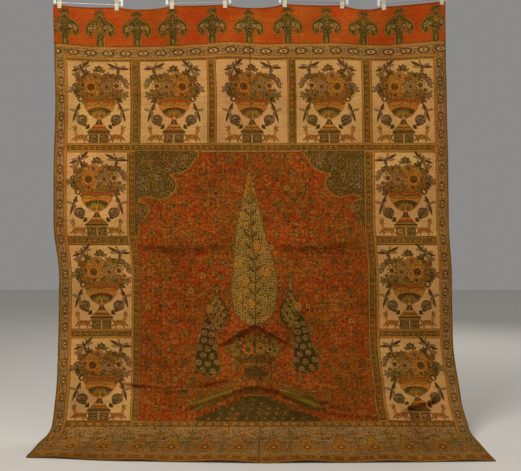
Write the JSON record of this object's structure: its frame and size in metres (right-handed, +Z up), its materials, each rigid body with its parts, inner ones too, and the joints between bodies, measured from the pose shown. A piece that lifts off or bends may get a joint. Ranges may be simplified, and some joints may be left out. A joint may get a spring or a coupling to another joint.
{
  "type": "kalamkari panel on clip hangers",
  "caption": "Large block-printed cotton hanging with a tree, birds, vases and borders, sewn from two widths with a red top band, pinched by clip hangers, its lower end swept onto the floor.",
  "frame": {"origin": "on the line of the rail that carries the hooks, at the inner top of their loops, above the middle of the cloth's top edge", "axes": "+Z up, -Y out of the printed face towards the viewer, +X to the viewer's right along the rail"},
  "size_m": [2.0847, 0.6814, 2.3035],
  "materials": {
    "printed_cotton": "matte printed cotton",
    "band_cotton": "matte printed cotton",
    "clear_plastic": "clear",
    "bright_wire": "bright",
    "clip_plastic": "satin"
  },
  "bodies": {
    "root": {"cloth_left": "printed_cotton", "cloth_right": "printed_cotton", "top_band": "band_cotton", "hanger_1_frame": "clear_plastic", "hanger_1_hook": "bright_wire", "hanger_1_rod": "bright_wire", "hanger_1_clip_left": "clip_plastic", "hanger_1_clip_right": "clip_plastic", "hanger_2_frame": "clear_plastic", "hanger_2_hook": "bright_wire", "hanger_2_rod": "bright_wire", "hanger_2_clip_left": "clip_plastic", "hanger_2_clip_right": "clip_plastic", "hanger_3_frame": "clear_plastic", "hanger_3_hook": "bright_wire", "hanger_3_rod": "bright_wire", "hanger_3_clip_left": "clip_plastic", "hanger_3_clip_right": "clip_plastic", "hanger_4_frame": "clear_plastic", "hanger_4_hook": "bright_wire", "hanger_4_rod": "bright_wire", "hanger_4_clip_left": "clip_plastic", "hanger_4_clip_right": "clip_plastic"}
  },
  "joints": []
}
